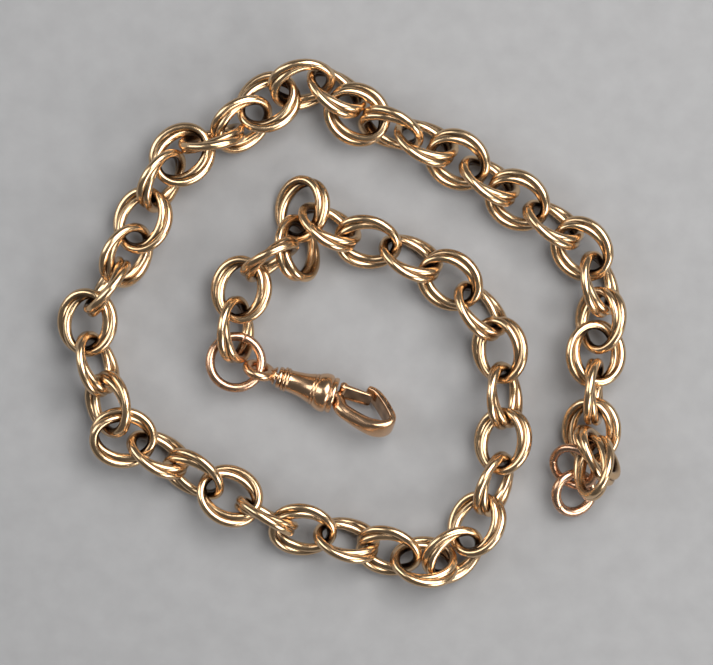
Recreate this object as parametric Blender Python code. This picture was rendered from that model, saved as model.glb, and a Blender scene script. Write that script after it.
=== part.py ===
"""Gold watch chain laid out in a coil: twisted-wire oval links, a swivel hook at the inner
end and plain rings at the outer end.

Metres, +Z up. The chain lies on the plane z = 0, centred over the origin. Sizes below are in
millimetres and are turned into metres where each mesh is made.
"""
import math

import bmesh
import bpy
import numpy as np
from mathutils import Matrix, Vector

MM = 0.001

# Oval link: two round wires laid side by side and turned once around the ring. The pair is
# drawn as one solid with an oval section that makes the same turn.
LINK_LENGTH = 11.2
LINK_WIDTH = 10.4
PAIR_WIDE = 2.6
PAIR_THIN = 1.56
LINK_STATIONS = 14
LINK_SIDES = 8

# Plain rings of round wire, as outer diameter and wire diameter.
JUMP_RING = (10.1, 1.55)
SMALL_RING = (8.7, 1.4)
END_RING = (8.2, 1.65)
RING_STATIONS = 20
RING_SIDES = 8

# Swivel: a turned barrel on an eye, and a hook with a hinged gate. Lengths along the swivel
# are counted from the barrel's big end, which is at zero, with the eye on the minus side.
BARREL_LENGTH = 10.0
BARREL_BIG_RADIUS = 3.3
BARREL_SMALL_RADIUS = 1.8
STEM_RADIUS = 0.6
STEM_CLEARANCE = 0.35
EYE_DIAMETER = 5.5
EYE_WIRE = 1.5
EYE_CENTRE = -13.3
HOOK_REACH = 10.8
ARM_DIAMETER = 2.5
NOSE_WIDTH = 4.2
NOSE_THICKNESS = 1.3
GATE_PIVOT = (0.95, -1.5)
GATE_LENGTH = 5.0
GATE_WIDTH = 3.6
GATE_THICKNESS = 0.9
TURN_SIDES = 24
GAP = 0.3

# How every link lies, from the swivel outwards: x and y of its centre, the compass direction of
# its long axis counted from +X, its lay (0 flat, 90 on edge, plus lifts the left-hand side), its
# pitch (plus lifts the leading end) and the height added to the resting height.
LINKS = (
    (-18.1, -0.8, 89, 60, 0, -0.2),
    (-17.2, 5.8, 78, -10, 0, 0.0),
    (-12.3, 10.9, 38, -105, 26, 0.8),
    (-7.9, 12.6, 93, 48, -13, -0.2),
    (-7.2, 19.1, 73, -30, 5, -1.1),
    (-2.7, 16.3, -31, -57, 0, 0.1),
    (3.8, 13.7, -9, 34, 0, 0.5),
    (10.8, 11.2, -27, -52, 0, -0.1),
    (17.4, 7.3, -38, 20, 0, 0.2),
    (22.3, 2.4, -51, -54, 0, -0.2),
    (25.6, -4.2, -82, 30, 0, 0.6),
    (26.3, -11.7, -86, -58, 0, 0.1),
    (26.1, -19.3, -100, 26, 0, 0.7),
    (24.8, -26.4, -110, -60, 0, -0.2),
    (21.7, -33.1, -117, 30, 0, 0.4),
    (18.0, -38.0, -141, -39, 0, 0.0),
    (13.1, -39.3, 174, 41, 0, 0.0),
    (7.3, -37.5, 165, -40, 0, 0.0),
    (0.2, -35.6, 165, 52, 0, -0.1),
    (-7.0, -34.0, 173, -34, 0, 0.2),
    (-13.1, -31.6, 154, 87, -2, 0.0),
    (-19.1, -28.3, 151, 17, -2, 0.5),
    (-25.0, -24.9, 148, -52, 0, 0.2),
    (-31.0, -21.3, 150, 56, -1, -0.1),
    (-36.7, -18.7, 173, -9, 7, 0.8),
    (-39.0, -13.2, 110, -45, -8, 1.2),
    (-41.2, -6.4, 107, 58, -4, 0.0),
    (-42.7, 0.4, 82, -12, 5, 0.3),
    (-39.5, 6.3, 56, -76, -2, 0.0),
    (-36.1, 11.6, 62, 44, -2, 0.1),
    (-33.6, 17.3, 65, -20, 0, 0.0),
    (-30.3, 24.0, 61, 58, 0, -0.2),
    (-27.0, 28.1, 39, -4, 0, 0.4),
    (-22.0, 30.7, 14, -75, 0, -0.1),
    (-17.0, 33.4, 38, 42, 0, -0.2),
    (-12.8, 36.8, 33, -20, 0, 0.0),
    (-7.1, 39.9, 15, 43, 0, 0.8),
    (-1.5, 38.7, -37, -54, 0, 0.0),
    (2.0, 34.8, -36, 5, 0, 0.3),
    (7.7, 32.4, -22, 58, 0, -0.1),
    (13.3, 30.3, -26, -52, 0, 0.0),
    (18.7, 27.3, -31, 22, 0, 0.0),
    (23.8, 24.0, -35, -58, 0, 0.0),
    (28.6, 20.6, -33, 22, 0, 0.2),
    (34.4, 16.8, -34, -58, 0, 0.0),
    (39.3, 12.5, -48, 21, 0, 0.1),
    (42.0, 6.8, -75, -57, 0, -0.2),
    (42.3, 0.7, -96, 41, 0, 0.0),
    (41.5, -4.8, -90, -13, 4, 0.2),
    (41.2, -11.1, -92, -77, 0, -0.2),
    (40.8, -17.6, -94, 22, -9, -0.1),
    (41.7, -21.4, -52, -65, -22, 0.6),
    (40.9, -23.5, -91, 57, 23, 4.1),
)

# Height a link needs so that a flat one can still thread its neighbours.
FLOAT_HEIGHT = 4.2

# Rings and swivel: x, y, height, direction, and the tilts about the direction and across it.
JUMP_RING_PLACE = (-18.1, -6.2, 3.7, 79, 2, -4)
SMALL_RING_PLACE = (37.9, -23.5, 4.9, 82, -19, 35)
END_RING_PLACE = (38.0, -27.9, 3.0, 92, 21, 14)
SWIVEL_PLACE = (-1.7, -11.8, 3.7, -18.6)
HOOK_ROLL = -34.0
EYE_ROLL = -65.0


def clear_scene():
    for obj in list(bpy.data.objects):
        bpy.data.objects.remove(obj, do_unlink=True)
    for block in list(bpy.data.meshes):
        bpy.data.meshes.remove(block)


def gold(name, colour, roughness):
    material = bpy.data.materials.new(name)
    material.use_nodes = True
    shader = material.node_tree.nodes["Principled BSDF"]
    shader.inputs["Base Color"].default_value = (*colour, 1.0)
    shader.inputs["Metallic"].default_value = 1.0
    shader.inputs["Roughness"].default_value = roughness
    return material


def skin(name, loops, material, closed):
    """A smooth mesh through loops of points, in millimetres. Each loop runs around the section."""
    work = bmesh.new()
    rings = [[work.verts.new(Vector(p) * MM) for p in loop] for loop in loops]
    count = len(rings[0])
    last = len(rings) if closed else len(rings) - 1
    for i in range(last):
        here = rings[i]
        there = rings[(i + 1) % len(rings)]
        for j in range(count):
            k = (j + 1) % count
            work.faces.new((here[j], here[k], there[k], there[j]))
    if not closed:
        work.faces.new(rings[0][::-1])
        work.faces.new(rings[-1])
    bmesh.ops.recalc_face_normals(work, faces=work.faces)
    mesh = bpy.data.meshes.new(name)
    work.to_mesh(mesh)
    work.free()
    mesh.materials.append(material)
    mesh.shade_smooth()
    mesh.set_sharp_from_angle(angle=math.radians(50))
    return mesh


def place(name, mesh, matrix):
    """A new object carrying the mesh, with its origin at the matrix's position in millimetres."""
    obj = bpy.data.objects.new(name, mesh)
    bpy.context.scene.collection.objects.link(obj)
    where = matrix.translation * MM
    obj.matrix_world = Matrix.Translation(where) @ matrix.to_3x3().to_4x4()
    return obj


def turned(x, y, z, direction, lay, pitch):
    """The matrix of a piece: pitch about its width, lay about its length, then its direction."""
    turn = Matrix.Rotation(math.radians(direction), 4, "Z")
    lift = Matrix.Rotation(math.radians(-pitch), 4, "Y")
    roll = Matrix.Rotation(math.radians(lay), 4, "X")
    return Matrix.Translation((x, y, z)) @ turn @ lift @ roll


def link_loops():
    """Sections of the wire pair around one link, long axis along X and the ring in XY."""
    half_long = (LINK_LENGTH - PAIR_THIN) / 2
    half_wide = (LINK_WIDTH - PAIR_WIDE) / 2
    loops = []
    for i in range(LINK_STATIONS):
        u = 2 * math.pi * i / LINK_STATIONS
        centre = np.array((half_long * math.cos(u), half_wide * math.sin(u), 0.0))
        outward = np.array((half_wide * math.cos(u), half_long * math.sin(u), 0.0))
        outward /= np.linalg.norm(outward)
        up = np.array((0.0, 0.0, 1.0))
        wide = math.cos(u) * up + math.sin(u) * outward
        thin = -math.sin(u) * up + math.cos(u) * outward
        loop = []
        for j in range(LINK_SIDES):
            a = 2 * math.pi * j / LINK_SIDES + u
            across = wide * math.cos(a - u) * PAIR_WIDE / 2
            through = thin * math.sin(a - u) * PAIR_THIN / 2
            loop.append(centre + across + through)
        loops.append(loop)
    return loops


def ring_loops(outer, wire):
    radius = (outer - wire) / 2
    loops = []
    for i in range(RING_STATIONS):
        u = 2 * math.pi * i / RING_STATIONS
        loop = []
        for j in range(RING_SIDES):
            a = 2 * math.pi * j / RING_SIDES
            reach = radius + wire / 2 * math.cos(a)
            loop.append((reach * math.cos(u), reach * math.sin(u), wire / 2 * math.sin(a)))
        loops.append(loop)
    return loops


def lathe_loops(profile):
    """Circles about X for a list of (x, radius)."""
    loops = []
    for x, radius in profile:
        loop = []
        for j in range(TURN_SIDES):
            a = 2 * math.pi * j / TURN_SIDES
            loop.append((x, radius * math.cos(a), radius * math.sin(a)))
        loops.append(loop)
    return loops


def resting_height(lay, pitch):
    """Centre height at which a link's lowest wire just meets the table."""
    half_long = (LINK_LENGTH - PAIR_THIN) / 2
    half_wide = (LINK_WIDTH - PAIR_WIDE) / 2
    rise_long = half_long * math.sin(math.radians(pitch))
    rise_wide = half_wide * math.cos(math.radians(pitch)) * math.sin(math.radians(lay))
    return max(math.hypot(rise_long, rise_wide) + PAIR_WIDE / 2, FLOAT_HEIGHT)


def make_links():
    metal = gold("link_gold", (0.80, 0.53, 0.29), 0.18)
    mesh = skin("link", link_loops(), metal, True)
    for number, (x, y, direction, lay, pitch, lift) in enumerate(LINKS, 1):
        height = resting_height(lay, pitch) + lift
        place(f"link_{number:02d}", mesh, turned(x, y, height, direction, lay, pitch))


def make_rings():
    red = gold("ring_gold", (0.78, 0.46, 0.30), 0.2)
    for name, size, where in (
        ("jump_ring", JUMP_RING, JUMP_RING_PLACE),
        ("small_ring", SMALL_RING, SMALL_RING_PLACE),
        ("end_ring", END_RING, END_RING_PLACE),
    ):
        place(name, skin(name, ring_loops(*size), red, True), turned(*where))


def make_barrel(frame, metal):
    """Hollow turned barrel, drawn as one loop of outer wall and bore."""
    big = BARREL_BIG_RADIUS
    small = BARREL_SMALL_RADIUS
    length = BARREL_LENGTH
    bore = STEM_RADIUS + STEM_CLEARANCE
    outer = (
        (-length, small - 0.15), (-length + 0.35, small + 0.1), (-length + 0.8, small - 0.1),
        (-length + 1.1, small + 0.25), (-length + 1.5, small + 0.2), (-length + 1.8, small),
        (-length * 0.6, small + 0.2), (-length * 0.42, small + 0.5), (-length * 0.36, small + 0.75),
        (-length * 0.32, small + 0.6), (-length * 0.24, big - 0.35), (-length * 0.16, big),
        (-length * 0.09, big - 0.25), (-length * 0.05, big - 0.45), (0.0, big - 0.4),
    )
    inner = (
        (0.0, 1.95), (-2.6, 1.95), (-2.9, 1.4), (-length + 2.0, 1.4), (-length + 2.0, bore),
        (-length, bore),
    )
    mesh = skin("barrel", lathe_loops(outer + inner), metal, True)
    return place("barrel", mesh, frame)


def make_eye(frame, metal):
    """Round eye on a stem that runs through the barrel's bore and ends in a wider head."""
    radius = (EYE_DIAMETER - EYE_WIRE) / 2
    length = BARREL_LENGTH
    ring = []
    for i in range(16):
        u = 2 * math.pi * i / 16
        loop = []
        for j in range(8):
            a = 2 * math.pi * j / 8
            reach = radius + EYE_WIRE / 2 * math.cos(a)
            x = EYE_CENTRE + reach * math.cos(u)
            loop.append((x, reach * math.sin(u), EYE_WIRE / 2 * math.sin(a)))
        ring.append(loop)
    stem = (
        (EYE_CENTRE + radius, 1.0), (-length - 0.9, 1.25), (-length - GAP - 0.15, 1.55),
        (-length - GAP, 1.45), (-length - GAP, STEM_RADIUS), (-length + 2.3, STEM_RADIUS),
        (-length + 2.3, 1.08), (-length + 3.0, 1.08), (-length + 3.2, 0.8),
    )
    loop_mesh = skin("eye_loop", ring, metal, True)
    stem_mesh = skin("eye_stem", lathe_loops(stem), metal, False)
    roll = Matrix.Rotation(math.radians(EYE_ROLL), 4, "X")
    eye = place("swivel_eye", loop_mesh, frame @ roll)
    cutter = place("eye_stem_shape", stem_mesh, frame @ roll)
    cutter.hide_render = True
    cutter.display_type = "WIRE"
    join = eye.modifiers.new("join", "BOOLEAN")
    join.operation = "UNION"
    join.object = cutter
    return eye


def hook_path():
    """Centre line of the hook in its own plane, as (along, across, half width, half thickness)."""
    arm = ARM_DIAMETER / 2
    wide = NOSE_WIDTH / 2
    thin = NOSE_THICKNESS / 2
    end = HOOK_REACH - thin
    spigot = [(-1.9, 0.0, 1.1, 1.1), (-0.3, 0.1, 1.15, 1.15), (0.6, 0.5, 1.15, 1.15)]
    lower_arm = [(1.7, 2.0, arm - 0.05, arm - 0.05), (3.4, 2.7, arm, arm)]
    lower_arm += [(end - 4.3, 3.35, arm + 0.2, arm - 0.05)]
    belly = [(end - 2.5, 3.5, (arm + wide) / 2 + 0.1, (arm + thin) / 2)]
    belly += [(end - 1.0, 3.15, wide * 0.95, thin * 1.15), (end - 0.05, 2.3, wide, thin)]
    nose = [(end, 1.3, wide, thin), (end - 0.8, 0.25, wide, thin)]
    nose += [(end - 1.75, -0.75, wide, thin), (end - 2.95, -1.85, wide * 0.95, thin * 0.95)]
    nose += [(end - 4.05, -2.6, wide * 0.85, thin * 0.85)]
    nose += [(end - 5.05, -2.95, wide * 0.7, thin * 0.7)]
    return spigot + lower_arm + belly + nose


def make_hook(frame, metal):
    """Hook: a spigot in the barrel, a round lower arm and a broad flat nose turned back on it."""
    path = hook_path()
    loops = []
    for i, (along, across, half_width, half_depth) in enumerate(path):
        before = path[max(i - 1, 0)]
        after = path[min(i + 1, len(path) - 1)]
        tangent = Vector((after[0] - before[0], after[1] - before[1], 0.0)).normalized()
        side = Vector((-tangent.y, tangent.x, 0.0))
        loop = []
        for j in range(12):
            a = 2 * math.pi * j / 12
            point = Vector((along, across, 0.0))
            point += side * half_depth * math.cos(a)
            point += Vector((0.0, 0.0, half_width * math.sin(a)))
            loop.append(point)
        loops.append(loop)
    return place("hook", skin("hook", loops, metal, False), frame)


def make_gate(frame, metal):
    """Gate lever: a knuckle across the hook's root and a flat bar that closes under the tip."""
    half = GATE_THICKNESS / 2
    wide = GATE_WIDTH / 2
    outline = []
    for step in range(7):
        a = math.radians(90 + step * 30)
        outline.append((0.6 * math.cos(a), 0.6 * math.sin(a)))
    outline += [(GATE_LENGTH * 0.5, -half), (GATE_LENGTH, -half * 0.6), (GATE_LENGTH, half * 0.6)]
    outline += [(GATE_LENGTH * 0.5, half)]
    loops = []
    for z in (-wide, wide):
        loops.append([(x, y, z) for x, y in outline])
    pivot = frame @ Matrix.Translation((*GATE_PIVOT, 0.0))
    return place("gate", skin("gate", loops, metal, False), pivot)


def make_swivel():
    metal = gold("swivel_gold", (0.80, 0.50, 0.31), 0.16)
    x, y, z, direction = SWIVEL_PLACE
    turn = Matrix.Rotation(math.radians(direction), 4, "Z")
    flip = Matrix.Rotation(math.pi, 4, "X")
    roll = Matrix.Rotation(math.radians(HOOK_ROLL), 4, "X")
    axis = Matrix.Translation((x, y, z)) @ turn
    make_barrel(axis, metal)
    make_eye(axis, metal)
    hook_frame = axis @ flip @ roll
    make_hook(hook_frame, metal)
    make_gate(hook_frame, metal)


def settle():
    """Centre the chain over the origin and stand its lowest point on z = 0."""
    bpy.context.view_layer.update()
    low = np.full(3, np.inf)
    high = np.full(3, -np.inf)
    for obj in bpy.context.scene.objects:
        if obj.hide_render:
            continue
        for vertex in obj.data.vertices:
            point = np.array(obj.matrix_world @ vertex.co)
            low = np.minimum(low, point)
            high = np.maximum(high, point)
    shift = Vector((-(low[0] + high[0]) / 2, -(low[1] + high[1]) / 2, -low[2]))
    for obj in bpy.context.scene.objects:
        obj.matrix_world = Matrix.Translation(shift) @ obj.matrix_world


clear_scene()
make_links()
make_rings()
make_swivel()
settle()
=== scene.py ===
"""Gold watch chain lying in a coil on grey paper: twisted-wire links, swivel clip and end ring."""
import math
import random

import bmesh
import bpy
import numpy as np
from mathutils import Matrix, Vector


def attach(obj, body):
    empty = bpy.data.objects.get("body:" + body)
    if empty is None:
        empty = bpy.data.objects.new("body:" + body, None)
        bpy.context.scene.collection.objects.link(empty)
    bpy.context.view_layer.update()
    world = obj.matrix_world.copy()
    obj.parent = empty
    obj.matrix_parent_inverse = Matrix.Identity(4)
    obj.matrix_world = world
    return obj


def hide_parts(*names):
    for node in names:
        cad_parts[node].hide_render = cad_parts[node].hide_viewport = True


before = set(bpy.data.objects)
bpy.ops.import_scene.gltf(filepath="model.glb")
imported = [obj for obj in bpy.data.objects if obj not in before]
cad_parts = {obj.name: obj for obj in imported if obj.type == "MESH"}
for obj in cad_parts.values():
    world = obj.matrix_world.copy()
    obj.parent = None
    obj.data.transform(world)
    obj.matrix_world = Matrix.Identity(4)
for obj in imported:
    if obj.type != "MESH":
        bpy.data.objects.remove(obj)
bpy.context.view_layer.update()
MM = 0.001


# --- Table, light and camera ----------------------------------------------------------------
# The chain lies on a sheet of matt grey paper and is seen from straight above. A large soft
# lamp stands to the upper right, a long weak one to the left, and a low one at the near right.
PAPER_GREY = (0.268, 0.270, 0.277)
PAPER_SIZE = 3.0
PAPER_DROP = 0.00005
MOTTLE_SCALE = 260.0
MOTTLE_LIGHT = (0.95, 1.04)
TOOTH_HEIGHT = 0.0002
CAMERA_HEIGHT = 0.75
SENSOR_WIDTH = 36.0
VIEW_WIDTH = 0.1188
VIEW_CENTRE = (0.0025, -0.0015)
ROOM_COLOUR = (0.95, 0.96, 1.0, 1)
ROOM_STRENGTH = 0.11


def paper_material():
    """Matt paper: a faint fibre mottle in colour and a very fine tooth."""
    material = bpy.data.materials.new("grey_paper")
    material.use_nodes = True
    nodes = material.node_tree.nodes
    links = material.node_tree.links
    shader = nodes["Principled BSDF"]
    shader.inputs["Roughness"].default_value = 0.9
    place = nodes.new("ShaderNodeTexCoord")
    mottle = nodes.new("ShaderNodeTexNoise")
    mottle.inputs["Scale"].default_value = MOTTLE_SCALE
    mottle.inputs["Detail"].default_value = 6.0
    ramp = nodes.new("ShaderNodeValToRGB")
    for stop, position, light in zip(ramp.color_ramp.elements, (0.3, 0.7), MOTTLE_LIGHT):
        stop.position = position
        stop.color = (*[c * light for c in PAPER_GREY], 1)
    tooth = nodes.new("ShaderNodeBump")
    tooth.inputs["Strength"].default_value = 0.08
    tooth.inputs["Distance"].default_value = TOOTH_HEIGHT
    links.new(place.outputs["Object"], mottle.inputs["Vector"])
    links.new(mottle.outputs["Fac"], ramp.inputs["Fac"])
    links.new(ramp.outputs["Color"], shader.inputs["Base Color"])
    links.new(mottle.outputs["Fac"], tooth.inputs["Height"])
    links.new(tooth.outputs["Normal"], shader.inputs["Normal"])
    return material


bpy.ops.mesh.primitive_plane_add(size=PAPER_SIZE, location=(0, 0, -PAPER_DROP))
paper = bpy.context.object
paper.name = "paper"
paper.data.materials.append(paper_material())

camera_data = bpy.data.cameras.new("overhead")
camera_data.sensor_width = SENSOR_WIDTH
camera_data.lens = SENSOR_WIDTH * CAMERA_HEIGHT / VIEW_WIDTH
camera_data.clip_end = 10.0
camera = bpy.data.objects.new("overhead", camera_data)
camera.location = (*VIEW_CENTRE, CAMERA_HEIGHT)
bpy.context.scene.collection.objects.link(camera)
bpy.context.scene.camera = camera


def lamp(name, place, target, size, watts, colour):
    """A flat soft lamp at a place, turned to face its target."""
    data = bpy.data.lights.new(name, "AREA")
    data.shape = "RECTANGLE"
    data.size, data.size_y = size
    data.energy = watts
    data.color = colour
    obj = bpy.data.objects.new(name, data)
    obj.location = place
    obj.rotation_euler = (Vector(target) - Vector(place)).to_track_quat("-Z", "Y").to_euler()
    bpy.context.scene.collection.objects.link(obj)


lamp("key_box", (0.20, 0.15, 0.46), (0, 0, 0), (0.44, 0.38), 3.9, (1.0, 0.98, 0.95))
lamp("left_box", (-0.40, 0.14, 0.30), (0, 0, 0), (0.22, 0.46), 1.0, (0.98, 0.99, 1.0))
lamp("near_strip", (0.36, -0.34, 0.30), (0.03, -0.02, 0), (0.34, 0.22), 1.8, (1.0, 0.98, 0.95))

room = bpy.data.worlds.new("room")
room.use_nodes = True
room.node_tree.nodes["Background"].inputs["Color"].default_value = ROOM_COLOUR
room.node_tree.nodes["Background"].inputs["Strength"].default_value = ROOM_STRENGTH
bpy.context.scene.world = room
bpy.context.scene.view_settings.view_transform = "Standard"


# --- Links ----------------------------------------------------------------------------------
# Each link is two round gold wires laid side by side, twisted once round the ring and soldered
# shut. They are polished by wear on the ridges, with painted shade and tarnish darkening them
# where the wires meet.
LINK_LENGTH = 11.2
LINK_WIDTH = 10.4
LINK_COUNT = 53
PAIR_WIDE = 2.6
PAIR_THIN = 1.56
WIRE_RADIUS = 0.74
WIRE_OFFSET = 0.55
WIRE_STEPS = 84
WIRE_SIDES = 14
TWIST_SPREAD = 12
# How strongly the insides of the bends are darkened with painted shade and grime.
BEND_SHADE_AND_GRIME = 0.95
STAIN = (0.93, 0.84, 0.74)
CLOUD_SCALE = 220.0
RUB_SCALE = 700.0
RIPPLE_SCALE = 620.0
RUB_FROM, RUB_TO = 0.35, 0.7


def gold(name, bright, shade_and_tarnish_colour, polish, worn, dent):
    """Polished gold, from bright to a faintly redder stain in clouds. Painted shade and tarnish
    follow the piece's groove attribute. Rubbing makes the polish uneven, and a slow ripple of
    shallow dents, their depth in metres, makes highlights wander as on handled metal."""
    material = bpy.data.materials.new(name)
    material.use_nodes = True
    nodes = material.node_tree.nodes
    links = material.node_tree.links
    shader = nodes["Principled BSDF"]
    shader.inputs["Metallic"].default_value = 1.0
    place = nodes.new("ShaderNodeTexCoord")
    noises = []
    for scale, detail in ((CLOUD_SCALE, 4.0), (RUB_SCALE, 2.0), (RIPPLE_SCALE, 1.0)):
        noise = nodes.new("ShaderNodeTexNoise")
        noise.inputs["Scale"].default_value = scale
        noise.inputs["Detail"].default_value = detail
        links.new(place.outputs["Object"], noise.inputs["Vector"])
        noises.append(noise)
    cloud, rub, ripple = noises
    groove = nodes.new("ShaderNodeAttribute")
    groove.attribute_name = "groove"
    tint = nodes.new("ShaderNodeMix")
    tint.data_type = "RGBA"
    tint.inputs["A"].default_value = (*bright, 1)
    tint.inputs["B"].default_value = (*[c * f for c, f in zip(bright, STAIN)], 1)
    dark = nodes.new("ShaderNodeMix")
    dark.data_type = "RGBA"
    dark.inputs["B"].default_value = (*shade_and_tarnish_colour, 1)
    rough = nodes.new("ShaderNodeMapRange")
    rough.inputs["From Min"].default_value = RUB_FROM
    rough.inputs["From Max"].default_value = RUB_TO
    rough.inputs["To Min"].default_value = polish
    rough.inputs["To Max"].default_value = worn
    bump = nodes.new("ShaderNodeBump")
    bump.inputs["Distance"].default_value = dent
    links.new(cloud.outputs["Fac"], tint.inputs["Factor"])
    links.new(tint.outputs["Result"], dark.inputs["A"])
    links.new(groove.outputs["Fac"], dark.inputs["Factor"])
    links.new(dark.outputs["Result"], shader.inputs["Base Color"])
    links.new(rub.outputs["Fac"], rough.inputs["Value"])
    links.new(rough.outputs["Result"], shader.inputs["Roughness"])
    links.new(ripple.outputs["Fac"], bump.inputs["Height"])
    links.new(bump.outputs["Normal"], shader.inputs["Normal"])
    return material


# The links' dark colour, mixed in by their groove attribute, is painted shade and tarnish.
link_gold = gold("link_gold", (0.76, 0.55, 0.34), (0.06, 0.028, 0.014), 0.20, 0.27, 0.00003)


def cad_points(node):
    """The places of a CAD node's vertices, as rows of x, y and z."""
    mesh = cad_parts[node].data
    points = np.empty(len(mesh.vertices) * 3)
    mesh.vertices.foreach_get("co", points)
    return np.unique(points.reshape(-1, 3).round(7), axis=0)


def main_ways(spread):
    """The directions of a spread of points, from least to most, as the columns of a matrix."""
    return np.linalg.eigh(spread)[1]


def ring_axes(node):
    """A matrix at a ring's centre: X along its longest way, Z square to its plane."""
    points = cad_points(node)
    centre = points.mean(axis=0)
    ways = main_ways(np.cov((points - centre).T))
    longest = Vector(ways[:, 2])
    square = Vector(ways[:, 0])
    if square.z < 0:
        square = -square
    matrix = Matrix((longest, square.cross(longest), square)).transposed().to_4x4()
    return Matrix.Translation(centre) @ matrix


def new_node(tree, kind, **settings):
    """One new node with the given properties set."""
    node = tree.nodes.new(kind)
    for name, value in settings.items():
        setattr(node, name, value)
    return node


def add_inputs(tree, names):
    """Named float inputs on a geometry tree, with their starting values."""
    tree.interface.new_socket("Geometry", in_out="INPUT", socket_type="NodeSocketGeometry")
    for name, value in names.items():
        socket = tree.interface.new_socket(name, in_out="INPUT", socket_type="NodeSocketFloat")
        socket.default_value = value
    tree.interface.new_socket("Geometry", in_out="OUTPUT", socket_type="NodeSocketGeometry")


class Sums:
    """Writes sums as math nodes, so that a rule reads as a formula."""

    def __init__(self, tree):
        self.tree = tree

    def ramp(self, value, start, end):
        """0 while the value is short of start, 1 once it is past end."""
        node = self.tree.nodes.new("ShaderNodeMapRange")
        node.inputs["From Min"].default_value = start
        node.inputs["From Max"].default_value = end
        self.tree.links.new(value, node.inputs["Value"])
        return node.outputs["Result"]

    def do(self, operation, *values):
        node = new_node(self.tree, "ShaderNodeMath", operation=operation)
        for socket, value in zip(node.inputs, values):
            if isinstance(value, (int, float)):
                socket.default_value = value
            else:
                self.tree.links.new(value, socket)
        return node.outputs[0]


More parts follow.
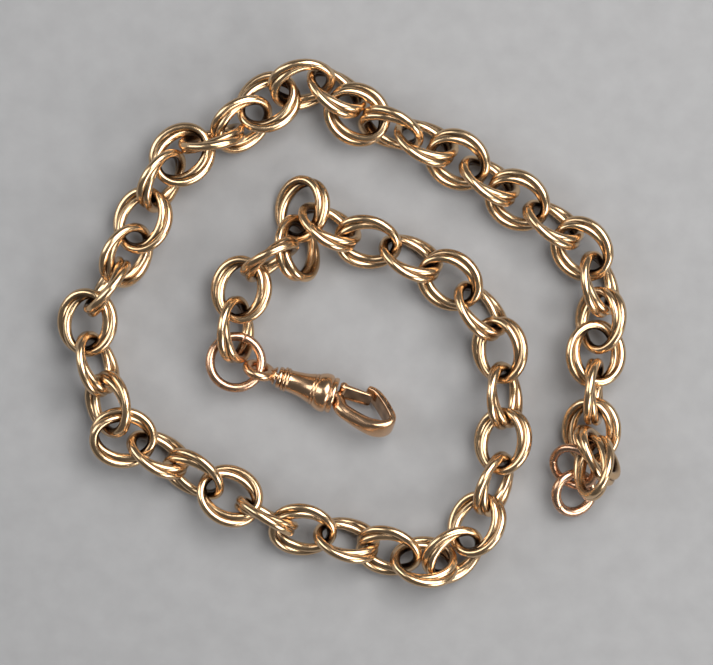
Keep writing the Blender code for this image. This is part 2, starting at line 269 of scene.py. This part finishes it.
def twisted_link_tree(material):
    """A ring of two wires that wind once round each other on an oval."""
    tree = bpy.data.node_groups.new("twisted link", "GeometryNodeTree")
    tree.is_modifier = True
    add_inputs(tree, {
        "Half Length": (LINK_LENGTH - PAIR_THIN) / 2 * MM,
        "Half Width": (LINK_WIDTH - PAIR_WIDE) / 2 * MM,
        "Wire Radius": WIRE_RADIUS * MM,
        "Wire Offset": WIRE_OFFSET * MM,
        "Start Of Twist": 0.0,
        "Bend Shade And Grime": BEND_SHADE_AND_GRIME,
    })
    sums = Sums(tree)
    link = tree.links.new
    given = tree.nodes.new("NodeGroupInput")
    result = tree.nodes.new("NodeGroupOutput")
    index = tree.nodes.new("GeometryNodeInputIndex")
    half_length, half_width = given.outputs["Half Length"], given.outputs["Half Width"]
    angle = sums.do("MULTIPLY", index.outputs[0], 2 * math.pi / WIRE_STEPS)
    cos_u = sums.do("COSINE", angle)
    sin_u = sums.do("SINE", angle)
    out_x = sums.do("MULTIPLY", half_width, cos_u)
    out_y = sums.do("MULTIPLY", half_length, sin_u)
    squared = sums.do("ADD", sums.do("MULTIPLY", out_x, out_x), sums.do("MULTIPLY", out_y, out_y))
    size = sums.do("SQRT", squared)
    turn = sums.do("ADD", angle, given.outputs["Start Of Twist"])
    join = tree.nodes.new("GeometryNodeJoinGeometry")
    for side in (1.0, -1.0):
        offset = sums.do("MULTIPLY", given.outputs["Wire Offset"], side)
        lift = sums.do("MULTIPLY", offset, sums.do("COSINE", turn))
        reach = sums.do("DIVIDE", sums.do("MULTIPLY", offset, sums.do("SINE", turn)), size)
        place = tree.nodes.new("ShaderNodeCombineXYZ")
        shift_x = sums.do("MULTIPLY", out_x, reach)
        shift_y = sums.do("MULTIPLY", out_y, reach)
        link(sums.do("ADD", sums.do("MULTIPLY", half_length, cos_u), shift_x), place.inputs["X"])
        link(sums.do("ADD", sums.do("MULTIPLY", half_width, sin_u), shift_y), place.inputs["Y"])
        link(lift, place.inputs["Z"])
        circle = tree.nodes.new("GeometryNodeCurvePrimitiveCircle")
        circle.inputs["Resolution"].default_value = WIRE_STEPS
        bend = tree.nodes.new("GeometryNodeSetPosition")
        link(circle.outputs["Curve"], bend.inputs["Geometry"])
        link(place.outputs["Vector"], bend.inputs["Position"])
        # The way to the other wire is kept on this one, so the skin knows where they touch.
        mate = new_node(tree, "GeometryNodeStoreNamedAttribute", data_type="FLOAT_VECTOR")
        mate.inputs["Name"].default_value = "pair_side"
        towards = tree.nodes.new("ShaderNodeCombineXYZ")
        for shift, way in ((shift_x, "X"), (shift_y, "Y"), (lift, "Z")):
            link(sums.do("MULTIPLY", shift, -1.0), towards.inputs[way])
        link(bend.outputs["Geometry"], mate.inputs["Geometry"])
        link(towards.outputs["Vector"], mate.inputs["Value"])
        section = tree.nodes.new("GeometryNodeCurvePrimitiveCircle")
        section.inputs["Resolution"].default_value = WIRE_SIDES
        link(given.outputs["Wire Radius"], section.inputs["Radius"])
        skin = tree.nodes.new("GeometryNodeCurveToMesh")
        link(mate.outputs["Geometry"], skin.inputs["Curve"])
        link(section.outputs["Curve"], skin.inputs["Profile Curve"])
        link(skin.outputs["Mesh"], join.inputs["Geometry"])
    # Groove is 1 where the skin faces the other wire and fades to 0 over a quarter turn. It
    # darkens the crease between the wires with painted shade, with some tarnish.
    pair_side = new_node(tree, "GeometryNodeInputNamedAttribute", data_type="FLOAT_VECTOR")
    pair_side.inputs["Name"].default_value = "pair_side"
    normal = tree.nodes.new("GeometryNodeInputNormal")
    unit = new_node(tree, "ShaderNodeVectorMath", operation="NORMALIZE")
    meeting = new_node(tree, "ShaderNodeVectorMath", operation="DOT_PRODUCT")
    link(pair_side.outputs["Attribute"], unit.inputs[0])
    link(unit.outputs["Vector"], meeting.inputs[0])
    link(normal.outputs["Normal"], meeting.inputs[1])
    groove = sums.ramp(meeting.outputs["Value"], 0.35, 0.95)
    # Inside the two bends, where the next links rub and no cloth reaches, the colour is darkened
    # with painted shade and some grime.
    where = new_node(tree, "GeometryNodeInputPosition")
    out = new_node(tree, "ShaderNodeVectorMath", operation="NORMALIZE")
    inward = new_node(tree, "ShaderNodeVectorMath", operation="DOT_PRODUCT")
    split = tree.nodes.new("ShaderNodeSeparateXYZ")
    link(where.outputs["Position"], out.inputs[0])
    link(out.outputs["Vector"], inward.inputs[0])
    link(normal.outputs["Normal"], inward.inputs[1])
    link(out.outputs["Vector"], split.inputs["Vector"])
    at_bend = sums.ramp(sums.do("ABSOLUTE", split.outputs["X"]), 0.4, 0.9)
    shut_in = sums.ramp(inward.outputs["Value"], 0.2, -0.7)
    bend_shade_and_grime = sums.do("MULTIPLY", sums.do("MULTIPLY", at_bend, shut_in), given.outputs["Bend Shade And Grime"])
    keep = new_node(tree, "GeometryNodeStoreNamedAttribute", data_type="FLOAT")
    keep.inputs["Name"].default_value = "groove"
    link(join.outputs["Geometry"], keep.inputs["Geometry"])
    link(sums.do("MAXIMUM", groove, bend_shade_and_grime), keep.inputs["Value"])
    drop = tree.nodes.new("GeometryNodeRemoveAttribute")
    drop.inputs["Name"].default_value = "pair_side"
    smooth = tree.nodes.new("GeometryNodeSetShadeSmooth")
    real = tree.nodes.new("GeometryNodeRealizeInstances")
    paint = tree.nodes.new("GeometryNodeSetMaterial")
    paint.inputs["Material"].default_value = material
    link(keep.outputs["Geometry"], drop.inputs["Geometry"])
    link(drop.outputs["Geometry"], smooth.inputs["Geometry"])
    link(smooth.outputs["Geometry"], real.inputs["Geometry"])
    link(real.outputs["Geometry"], paint.inputs["Geometry"])
    link(paint.outputs["Geometry"], result.inputs["Geometry"])
    return tree


def grown(name, tree, values, matrix):
    """A plain mesh object from a geometry tree, moved to its place in the mesh itself."""
    seed = bpy.data.objects.new(name + "_seed", bpy.data.meshes.new(name + "_seed"))
    bpy.context.scene.collection.objects.link(seed)
    modifier = seed.modifiers.new("grow", "NODES")
    modifier.node_group = tree
    for item in tree.interface.items_tree:
        if item.item_type == "SOCKET" and item.in_out == "INPUT" and item.name in values:
            modifier[item.identifier] = values[item.name]
    seen = seed.evaluated_get(bpy.context.evaluated_depsgraph_get())
    mesh = bpy.data.meshes.new_from_object(seen)
    bpy.data.objects.remove(seed)
    mesh.name = name
    mesh.transform(matrix)
    piece = bpy.data.objects.new(name, mesh)
    bpy.context.scene.collection.objects.link(piece)
    return piece


def stands_for(piece, body, slot, *nodes):
    """The piece rides on its body and is shown in place of its CAD nodes."""
    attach(piece, body)
    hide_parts(*nodes)


link_tree = twisted_link_tree(link_gold)
chance = random.Random(5)
for number in range(1, LINK_COUNT + 1):
    node = f"link_{number:02d}"
    twist = {"Start Of Twist": math.radians(chance.uniform(-TWIST_SPREAD, TWIST_SPREAD))}
    wires = grown(node + "_wires", link_tree, twist, ring_axes(node))
    stands_for(wires, node, "link_gold", node)


# --- Plain rings ----------------------------------------------------------------------------
# The jump ring, the small ring and the end ring are round wire bent into a circle and closed
# butt to butt. They are a redder gold than the links, and the joint shows as a fine dark line.
# Each row is outer and wire diameter in millimetres, and the way in which the joint lies.
RING_SIZES = {
    "jump_ring": (10.1, 1.55, (0.35, 1.0, 0.0)),
    "small_ring": (8.7, 1.4, (-1.0, 0.15, 0.0)),
    "end_ring": (8.2, 1.65, (-0.85, -0.62, 0.0)),
}
SEAM_GAP = 0.05
SEAM_ROUNDING = 0.09
SEAM_SHRINK = [0.84, 0.95, 1.0]
HAMMERING = 0.012
RING_STEPS = 120
RING_SIDES = 24

ring_gold = gold("ring_gold", (0.66, 0.43, 0.30), (0.08, 0.035, 0.02), 0.22, 0.30, 0.00002)


def skinned(name, loops, capped, material):
    """A smooth mesh object through loops of points, the last loop joined to the first unless
    the ends are capped."""
    work = bmesh.new()
    rows = [[work.verts.new(point) for point in loop] for loop in loops]
    count = len(rows[0])
    for i in range(len(rows) - 1 if capped else len(rows)):
        here, there = rows[i], rows[(i + 1) % len(rows)]
        for j in range(count):
            k = (j + 1) % count
            work.faces.new((here[j], here[k], there[k], there[j]))
    if capped:
        work.faces.new(rows[0][::-1])
        work.faces.new(rows[-1])
    bmesh.ops.recalc_face_normals(work, faces=work.faces)
    mesh = bpy.data.meshes.new(name)
    work.to_mesh(mesh)
    work.free()
    mesh.materials.append(material)
    mesh.shade_smooth()
    piece = bpy.data.objects.new(name, mesh)
    bpy.context.scene.collection.objects.link(piece)
    return piece


def facing(node, direction):
    """A matrix at a round ring's centre with Z square to the ring and X towards direction."""
    matrix = ring_axes(node)
    square = matrix.col[2].xyz
    towards = Vector(direction)
    towards = (towards - square * towards.dot(square)).normalized()
    turn = Matrix((towards, square.cross(towards), square)).transposed().to_4x4()
    return Matrix.Translation(matrix.translation) @ turn


def butted_ring(name, outer, wire, matrix, material):
    """Round wire bent round from one side of its butt joint to the other."""
    radius = (outer - wire) / 2
    start = SEAM_GAP / 2 / radius
    ease = SEAM_ROUNDING / radius
    angles = [start, start + ease * 0.3, start + ease]
    angles += [start + ease + (2 * math.pi - 2 * start - 2 * ease) * i / RING_STEPS
               for i in range(1, RING_STEPS)]
    angles += [2 * math.pi - a for a in (start + ease, start + ease * 0.3, start)]
    shrink = SEAM_SHRINK + [1.0] * (RING_STEPS - 1) + SEAM_SHRINK[::-1]
    loops = []
    for angle, part in zip(angles, shrink):
        loop = []
        for j in range(RING_SIDES):
            a = 2 * math.pi * j / RING_SIDES
            wobble = 1 + HAMMERING * math.sin(3 * angle + a)
            reach = radius + wire / 2 * part * wobble * math.cos(a)
            lift = wire / 2 * part * wobble * math.sin(a)
            point = Vector((reach * math.cos(angle), reach * math.sin(angle), lift))
            loop.append(matrix @ (point * MM))
        loops.append(loop)
    return skinned(name, loops, True, material)


for node, (outer, wire, seam) in RING_SIZES.items():
    ring = butted_ring(node + "_wire", outer, wire, facing(node, seam), ring_gold)
    stands_for(ring, node, "ring_gold", node)


# --- Swivel barrel --------------------------------------------------------------------------
# A hollow turned barrel: a collar and two beads at the eye end, a waisted body with a double
# engraved line, and a round bulge that ends in a raised rim where the hook comes out.
# Each point of the outline is place along the axis and radius, in millimetres from the rim.
BARREL_OUTLINE = (
    (-10.0, 1.00), (-10.0, 1.52), (-9.94, 1.66), (-9.82, 1.76), (-9.60, 1.80), (-9.38, 1.76),
    (-9.27, 1.66), (-9.20, 1.60), (-9.12, 1.78), (-9.00, 1.98), (-8.84, 2.05), (-8.68, 1.98),
    (-8.60, 1.86), (-8.52, 1.98), (-8.36, 2.05), (-8.20, 1.98), (-8.10, 1.82), (-7.90, 1.80),
    (-7.00, 1.88), (-6.00, 2.00), (-5.00, 2.20), (-4.30, 2.44), (-4.02, 2.55), (-3.94, 2.47),
    (-3.84, 2.47), (-3.76, 2.64), (-3.50, 2.72), (-3.42, 2.64), (-3.34, 2.64), (-3.26, 2.78),
    (-2.90, 2.96), (-2.45, 3.14), (-2.00, 3.25), (-1.60, 3.28), (-1.25, 3.22), (-1.00, 3.04),
    (-0.88, 2.84), (-0.80, 2.84), (-0.72, 2.96), (-0.55, 3.03), (-0.25, 3.03), (-0.08, 2.96),
    (0.00, 2.84), (0.00, 2.05), (-0.06, 1.98), (-2.60, 1.95), (-2.90, 1.40), (-8.00, 1.40),
    (-8.00, 1.00),
)
GROOVES = (-9.20, -8.60, -8.08, -3.89, -3.38, -0.84)
GROOVE_REACH = 0.10
TURNED_SIDES = 96

swivel_gold = gold("swivel_gold", (0.74, 0.50, 0.32), (0.08, 0.04, 0.025), 0.21, 0.27, 0.00002)


def swivel_place():
    """A matrix at the rim's centre: X along the barrel to the hook, Y from gate to hook arm."""
    barrel = cad_points("barrel")
    centre = barrel.mean(axis=0)
    along = main_ways(np.cov((barrel - centre).T))[:, 2]
    if along @ (cad_points("hook").mean(axis=0) - centre) < 0:
        along = -along
    rim = centre + along * ((barrel - centre) @ along).max()
    gate = cad_points("gate").mean(axis=0) - rim
    across = Vector(along * (gate @ along) - gate).normalized()
    forward = Vector(along)
    turn = Matrix((forward, across, forward.cross(across))).transposed().to_4x4()
    return Matrix.Translation(rim) @ turn


def turned_piece(name, outline, matrix, material, closed):
    """A piece turned on a lathe about X from its outline of (x, radius). A closed outline
    comes back to its start, as round a hollow piece."""
    loops = []
    for x, radius in outline:
        loop = []
        for j in range(TURNED_SIDES):
            a = 2 * math.pi * j / TURNED_SIDES
            loop.append(matrix @ (Vector((x, radius * math.cos(a), radius * math.sin(a))) * MM))
        loops.append(loop)
    piece = skinned(name, loops, not closed, material)
    piece.data.set_sharp_from_angle(angle=math.radians(60))
    return piece


def write_darkening(piece, dark_at):
    """Writes the groove attribute from a rule on each vertex's place."""
    values = [dark_at(vertex.co) for vertex in piece.data.vertices]
    piece.data.attributes.new("groove", "FLOAT", "POINT").data.foreach_set("value", values)


swivel = swivel_place()
to_swivel = swivel.inverted()
barrel = turned_piece("barrel_turning", BARREL_OUTLINE, swivel, swivel_gold, True)


def barrel_groove_darkening(place):
    """Dark at the bottom of each turned groove."""
    x = (to_swivel @ place).x / MM
    near = min(abs(x - groove) for groove in GROOVES)
    return max(0.0, 0.75 - near / GROOVE_REACH)


write_darkening(barrel, barrel_groove_darkening)
stands_for(barrel, "swivel_barrel", "swivel_gold", "barrel")


# --- Swivel eye -----------------------------------------------------------------------------
# A cast loop on a short neck. Its stem runs through the barrel and is headed over inside, so
# that the barrel and hook turn freely on it.
EYE_RADIUS = 2.0
EYE_WIRE = 0.80
EYE_SWELL = 0.10
EYE_CENTRE = -13.3
LOOP_CLEAR = 0.4
NECK_OUTLINE = (
    (-11.75, 0.0), (-11.72, 0.35), (-11.6, 0.72), (-11.3, 0.95), (-10.95, 1.10), (-10.75, 1.26),
    (-10.62, 1.46), (-10.50, 1.54), (-10.38, 1.52), (-10.31, 1.40), (-10.30, 0.60),
    (-7.70, 0.60), (-7.70, 1.00), (-7.62, 1.08), (-7.08, 1.08), (-6.90, 0.98), (-6.80, 0.6),
    (-6.78, 0.0),
)


def eye_place():
    """The swivel's matrix rolled about its own axis into the plane of the eye."""
    points = cad_points("swivel_eye")
    local = np.array([to_swivel @ Vector(point) for point in points])
    loop = local[local[:, 0] < (EYE_CENTRE - LOOP_CLEAR) * MM][:, 1:]
    ways = main_ways(loop.T @ loop)
    roll = math.atan2(ways[1, 1], ways[0, 1])
    return swivel @ Matrix.Rotation(roll, 4, "X")


eye_matrix = eye_place()
# The loop thickens where it runs into the neck.
eye_loops = []
for i in range(RING_STEPS):
    u = 2 * math.pi * i / RING_STEPS
    swell = 1 + EYE_SWELL * max(0.0, math.cos(u)) ** 4
    loop = []
    for j in range(RING_SIDES):
        a = 2 * math.pi * j / RING_SIDES
        reach = EYE_RADIUS + EYE_WIRE * swell * math.cos(a)
        lift = EYE_WIRE * swell * math.sin(a)
        point = Vector((EYE_CENTRE + reach * math.cos(u), reach * math.sin(u), lift))
        loop.append(eye_matrix @ (point * MM))
    eye_loops.append(loop)
eye = skinned("eye_loop", eye_loops, False, swivel_gold)
neck = turned_piece("eye_neck_and_stem", NECK_OUTLINE, eye_matrix, swivel_gold, False)
stands_for(eye, "swivel_eye", "swivel_gold", "swivel_eye")
stands_for(neck, "swivel_eye", "swivel_gold", "swivel_eye")


# --- Hook -----------------------------------------------------------------------------------
# Cast in one piece: a spigot inside the barrel, a round lower arm that thickens away from the
# rim, and a broad thin nose that curls back over the gate's end.
# Each row is along, across, half width and half depth of the section, in millimetres.
HOOK_ROWS = (
    (-1.90, 0.00, 1.10, 1.10), (-0.30, 0.10, 1.15, 1.15), (0.60, 0.50, 1.15, 1.15),
    (1.70, 2.00, 1.20, 1.20), (3.40, 2.70, 1.25, 1.25), (5.85, 3.35, 1.45, 1.20),
    (7.65, 3.50, 1.78, 0.95), (9.15, 3.15, 2.00, 0.75), (10.10, 2.30, 2.10, 0.66),
    (10.15, 1.30, 2.10, 0.65), (9.35, 0.25, 2.10, 0.65), (8.40, -0.75, 2.10, 0.65),
    (7.20, -1.85, 2.00, 0.62), (6.10, -2.60, 1.80, 0.55), (5.10, -2.95, 1.48, 0.45),
)
HOOK_STEPS = 9
HOOK_SIDES = 28
FLAT_FROM = 0.9
TIP_ROUNDING = ((0.16, 0.93), (0.28, 0.75), (0.36, 0.45), (0.38, 0.12))
CURL_CENTRE = (6.9, 0.9)
CURL_RADIUS = 3.0
NOSE_FROM = 4.8
NOSE_BELOW = 2.4


def through(rows, steps):
    """A smooth run of rows through the given ones, by Catmull-Rom."""
    rows = [np.array(row) for row in rows]
    rows = [2 * rows[0] - rows[1]] + rows + [2 * rows[-1] - rows[-2]]
    run = []
    for i in range(1, len(rows) - 2):
        a, b, c, d = rows[i - 1:i + 3]
        for k in range(steps):
            t = k / steps
            run.append(0.5 * (2 * b + (c - a) * t + (2 * a - 5 * b + 4 * c - d) * t * t
                              + (3 * b - a - 3 * c + d) * t ** 3))
    run.append(rows[-2])
    return run


def hook_loops():
    """The hook's sections: round in the arm, squarer as they widen, rounded off at the tip."""
    run = through(HOOK_ROWS, HOOK_STEPS)
    loops = []
    for i, (along, across, half_width, half_depth) in enumerate(run):
        centre = Vector((along, across, 0))
        before, after = run[max(i - 1, 0)], run[min(i + 1, len(run) - 1)]
        tangent = Vector((after[0] - before[0], after[1] - before[1], 0)).normalized()
        side = Vector((-tangent.y, tangent.x, 0))
        flat = min(1.0, max(0.0, (half_width - half_depth) / FLAT_FROM))
        power = 1.0 - 0.5 * flat
        loop = []
        for j in range(HOOK_SIDES):
            a = 2 * math.pi * j / HOOK_SIDES
            c, s = math.cos(a), math.sin(a)
            deep = math.copysign(abs(c) ** power, c) * half_depth
            wide = math.copysign(abs(s) ** power, s) * half_width
            loop.append(swivel @ ((centre + side * deep + Vector((0, 0, wide))) * MM))
        loops.append(loop)
    tip = loops[-1]
    tip_centre = sum(tip, Vector()) / HOOK_SIDES
    run_on = (tip_centre - sum(loops[-2], Vector()) / HOOK_SIDES).normalized()
    for forward, shrink in TIP_ROUNDING:
        moved = tip_centre + run_on * forward * MM
        loops.append([moved + (point - tip_centre) * shrink for point in tip])
    return loops


hook = skinned("hook_casting", hook_loops(), True, swivel_gold)


def hook_tarnish(place):
    """Dark in patches inside the curl of the nose, where cloth never polishes it."""
    x, y, z = (to_swivel @ place) / MM
    inside = CURL_RADIUS - math.hypot(x - CURL_CENTRE[0], (y - CURL_CENTRE[1]) * 1.05)
    if x < NOSE_FROM or y > NOSE_BELOW or inside < 0:
        return 0.0
    patchy = 0.7 + 0.3 * math.sin(2.3 * x + 1.1 * z) * math.sin(1.9 * y - 1.7 * z)
    return min(0.75, inside * 1.6) * patchy


write_darkening(hook, hook_tarnish)
stands_for(hook, "swivel_barrel", "swivel_gold", "hook")


# --- Gate -----------------------------------------------------------------------------------
# A spring lever hinged on a pin across the hook's root. Its inner face is hollowed between two
# raised edges and never polished there, and its end rests inside the hook's tip.
GATE_PIVOT = (0.95, -1.5)
GATE_RUN = 5.0
GATE_HALF_WIDTH = 1.8
GATE_HALF_THICK = 0.45
GATE_THINNING = 0.42
GATE_NARROWING = 0.10
GATE_END = 0.9
GATE_RIM = 0.22
GATE_HOLLOW = 0.26
GATE_STEPS = 24
KNUCKLE_RADIUS = 0.58

gate_matrix = swivel @ Matrix.Translation(Vector((*GATE_PIVOT, 0)) * MM)
gate_loops = []
for step in range(GATE_STEPS + 1):
    t = step / GATE_STEPS
    x = GATE_RUN * t
    half = GATE_HALF_THICK * (1.0 - GATE_THINNING * t)
    wide = GATE_HALF_WIDTH * (1.0 - GATE_NARROWING * t)
    if t > GATE_END:
        wide *= math.sqrt(1 - ((t - GATE_END) / (1 - GATE_END)) ** 2 * 0.5)
    sink = GATE_HOLLOW * min(1.0, 6 * t) * min(1.0, 6 * (1 - t))
    outline = [(half, -wide), (half, -wide + GATE_RIM), (half - sink, -wide + 2 * GATE_RIM),
               (half - sink, wide - 2 * GATE_RIM), (half, wide - GATE_RIM), (half, wide),
               (-half * 0.3, wide), (-half, wide - GATE_RIM), (-half, -wide + GATE_RIM),
               (-half * 0.3, -wide)]
    gate_loops.append([gate_matrix @ (Vector((x, y, z)) * MM) for y, z in outline])
gate = skinned("gate_lever", gate_loops, True, swivel_gold)
soften = gate.modifiers.new("soften", "BEVEL")
soften.width = 0.06 * MM
soften.segments = 2


def gate_tarnish(place):
    """Dark on the floor of the hollow and clean on the rubbed edges."""
    x, y, z = (to_swivel @ place) / MM
    floor = y > GATE_PIVOT[1] and abs(z) < GATE_HALF_WIDTH - 1.5 * GATE_RIM
    return 0.72 + 0.2 * math.sin(2.1 * x + 1.3 * z) if floor else 0.0


write_darkening(gate, gate_tarnish)


def cross_pin(name, radius, half_length, material):
    """A round bar across the swivel at the gate's pivot, its ends slightly domed."""
    outline = ((-half_length, 0.0), (-half_length, radius * 0.8), (-half_length + 0.08, radius),
               (half_length - 0.08, radius), (half_length, radius * 0.8), (half_length, 0.0))
    upright = gate_matrix @ Matrix.Rotation(math.radians(-90), 4, "Y")
    return turned_piece(name, outline, upright, material, False)


knuckle = cross_pin("gate_knuckle", KNUCKLE_RADIUS, GATE_HALF_WIDTH - 0.02, swivel_gold)
for piece in (gate, knuckle):
    stands_for(piece, "gate", "swivel_gold", "gate")
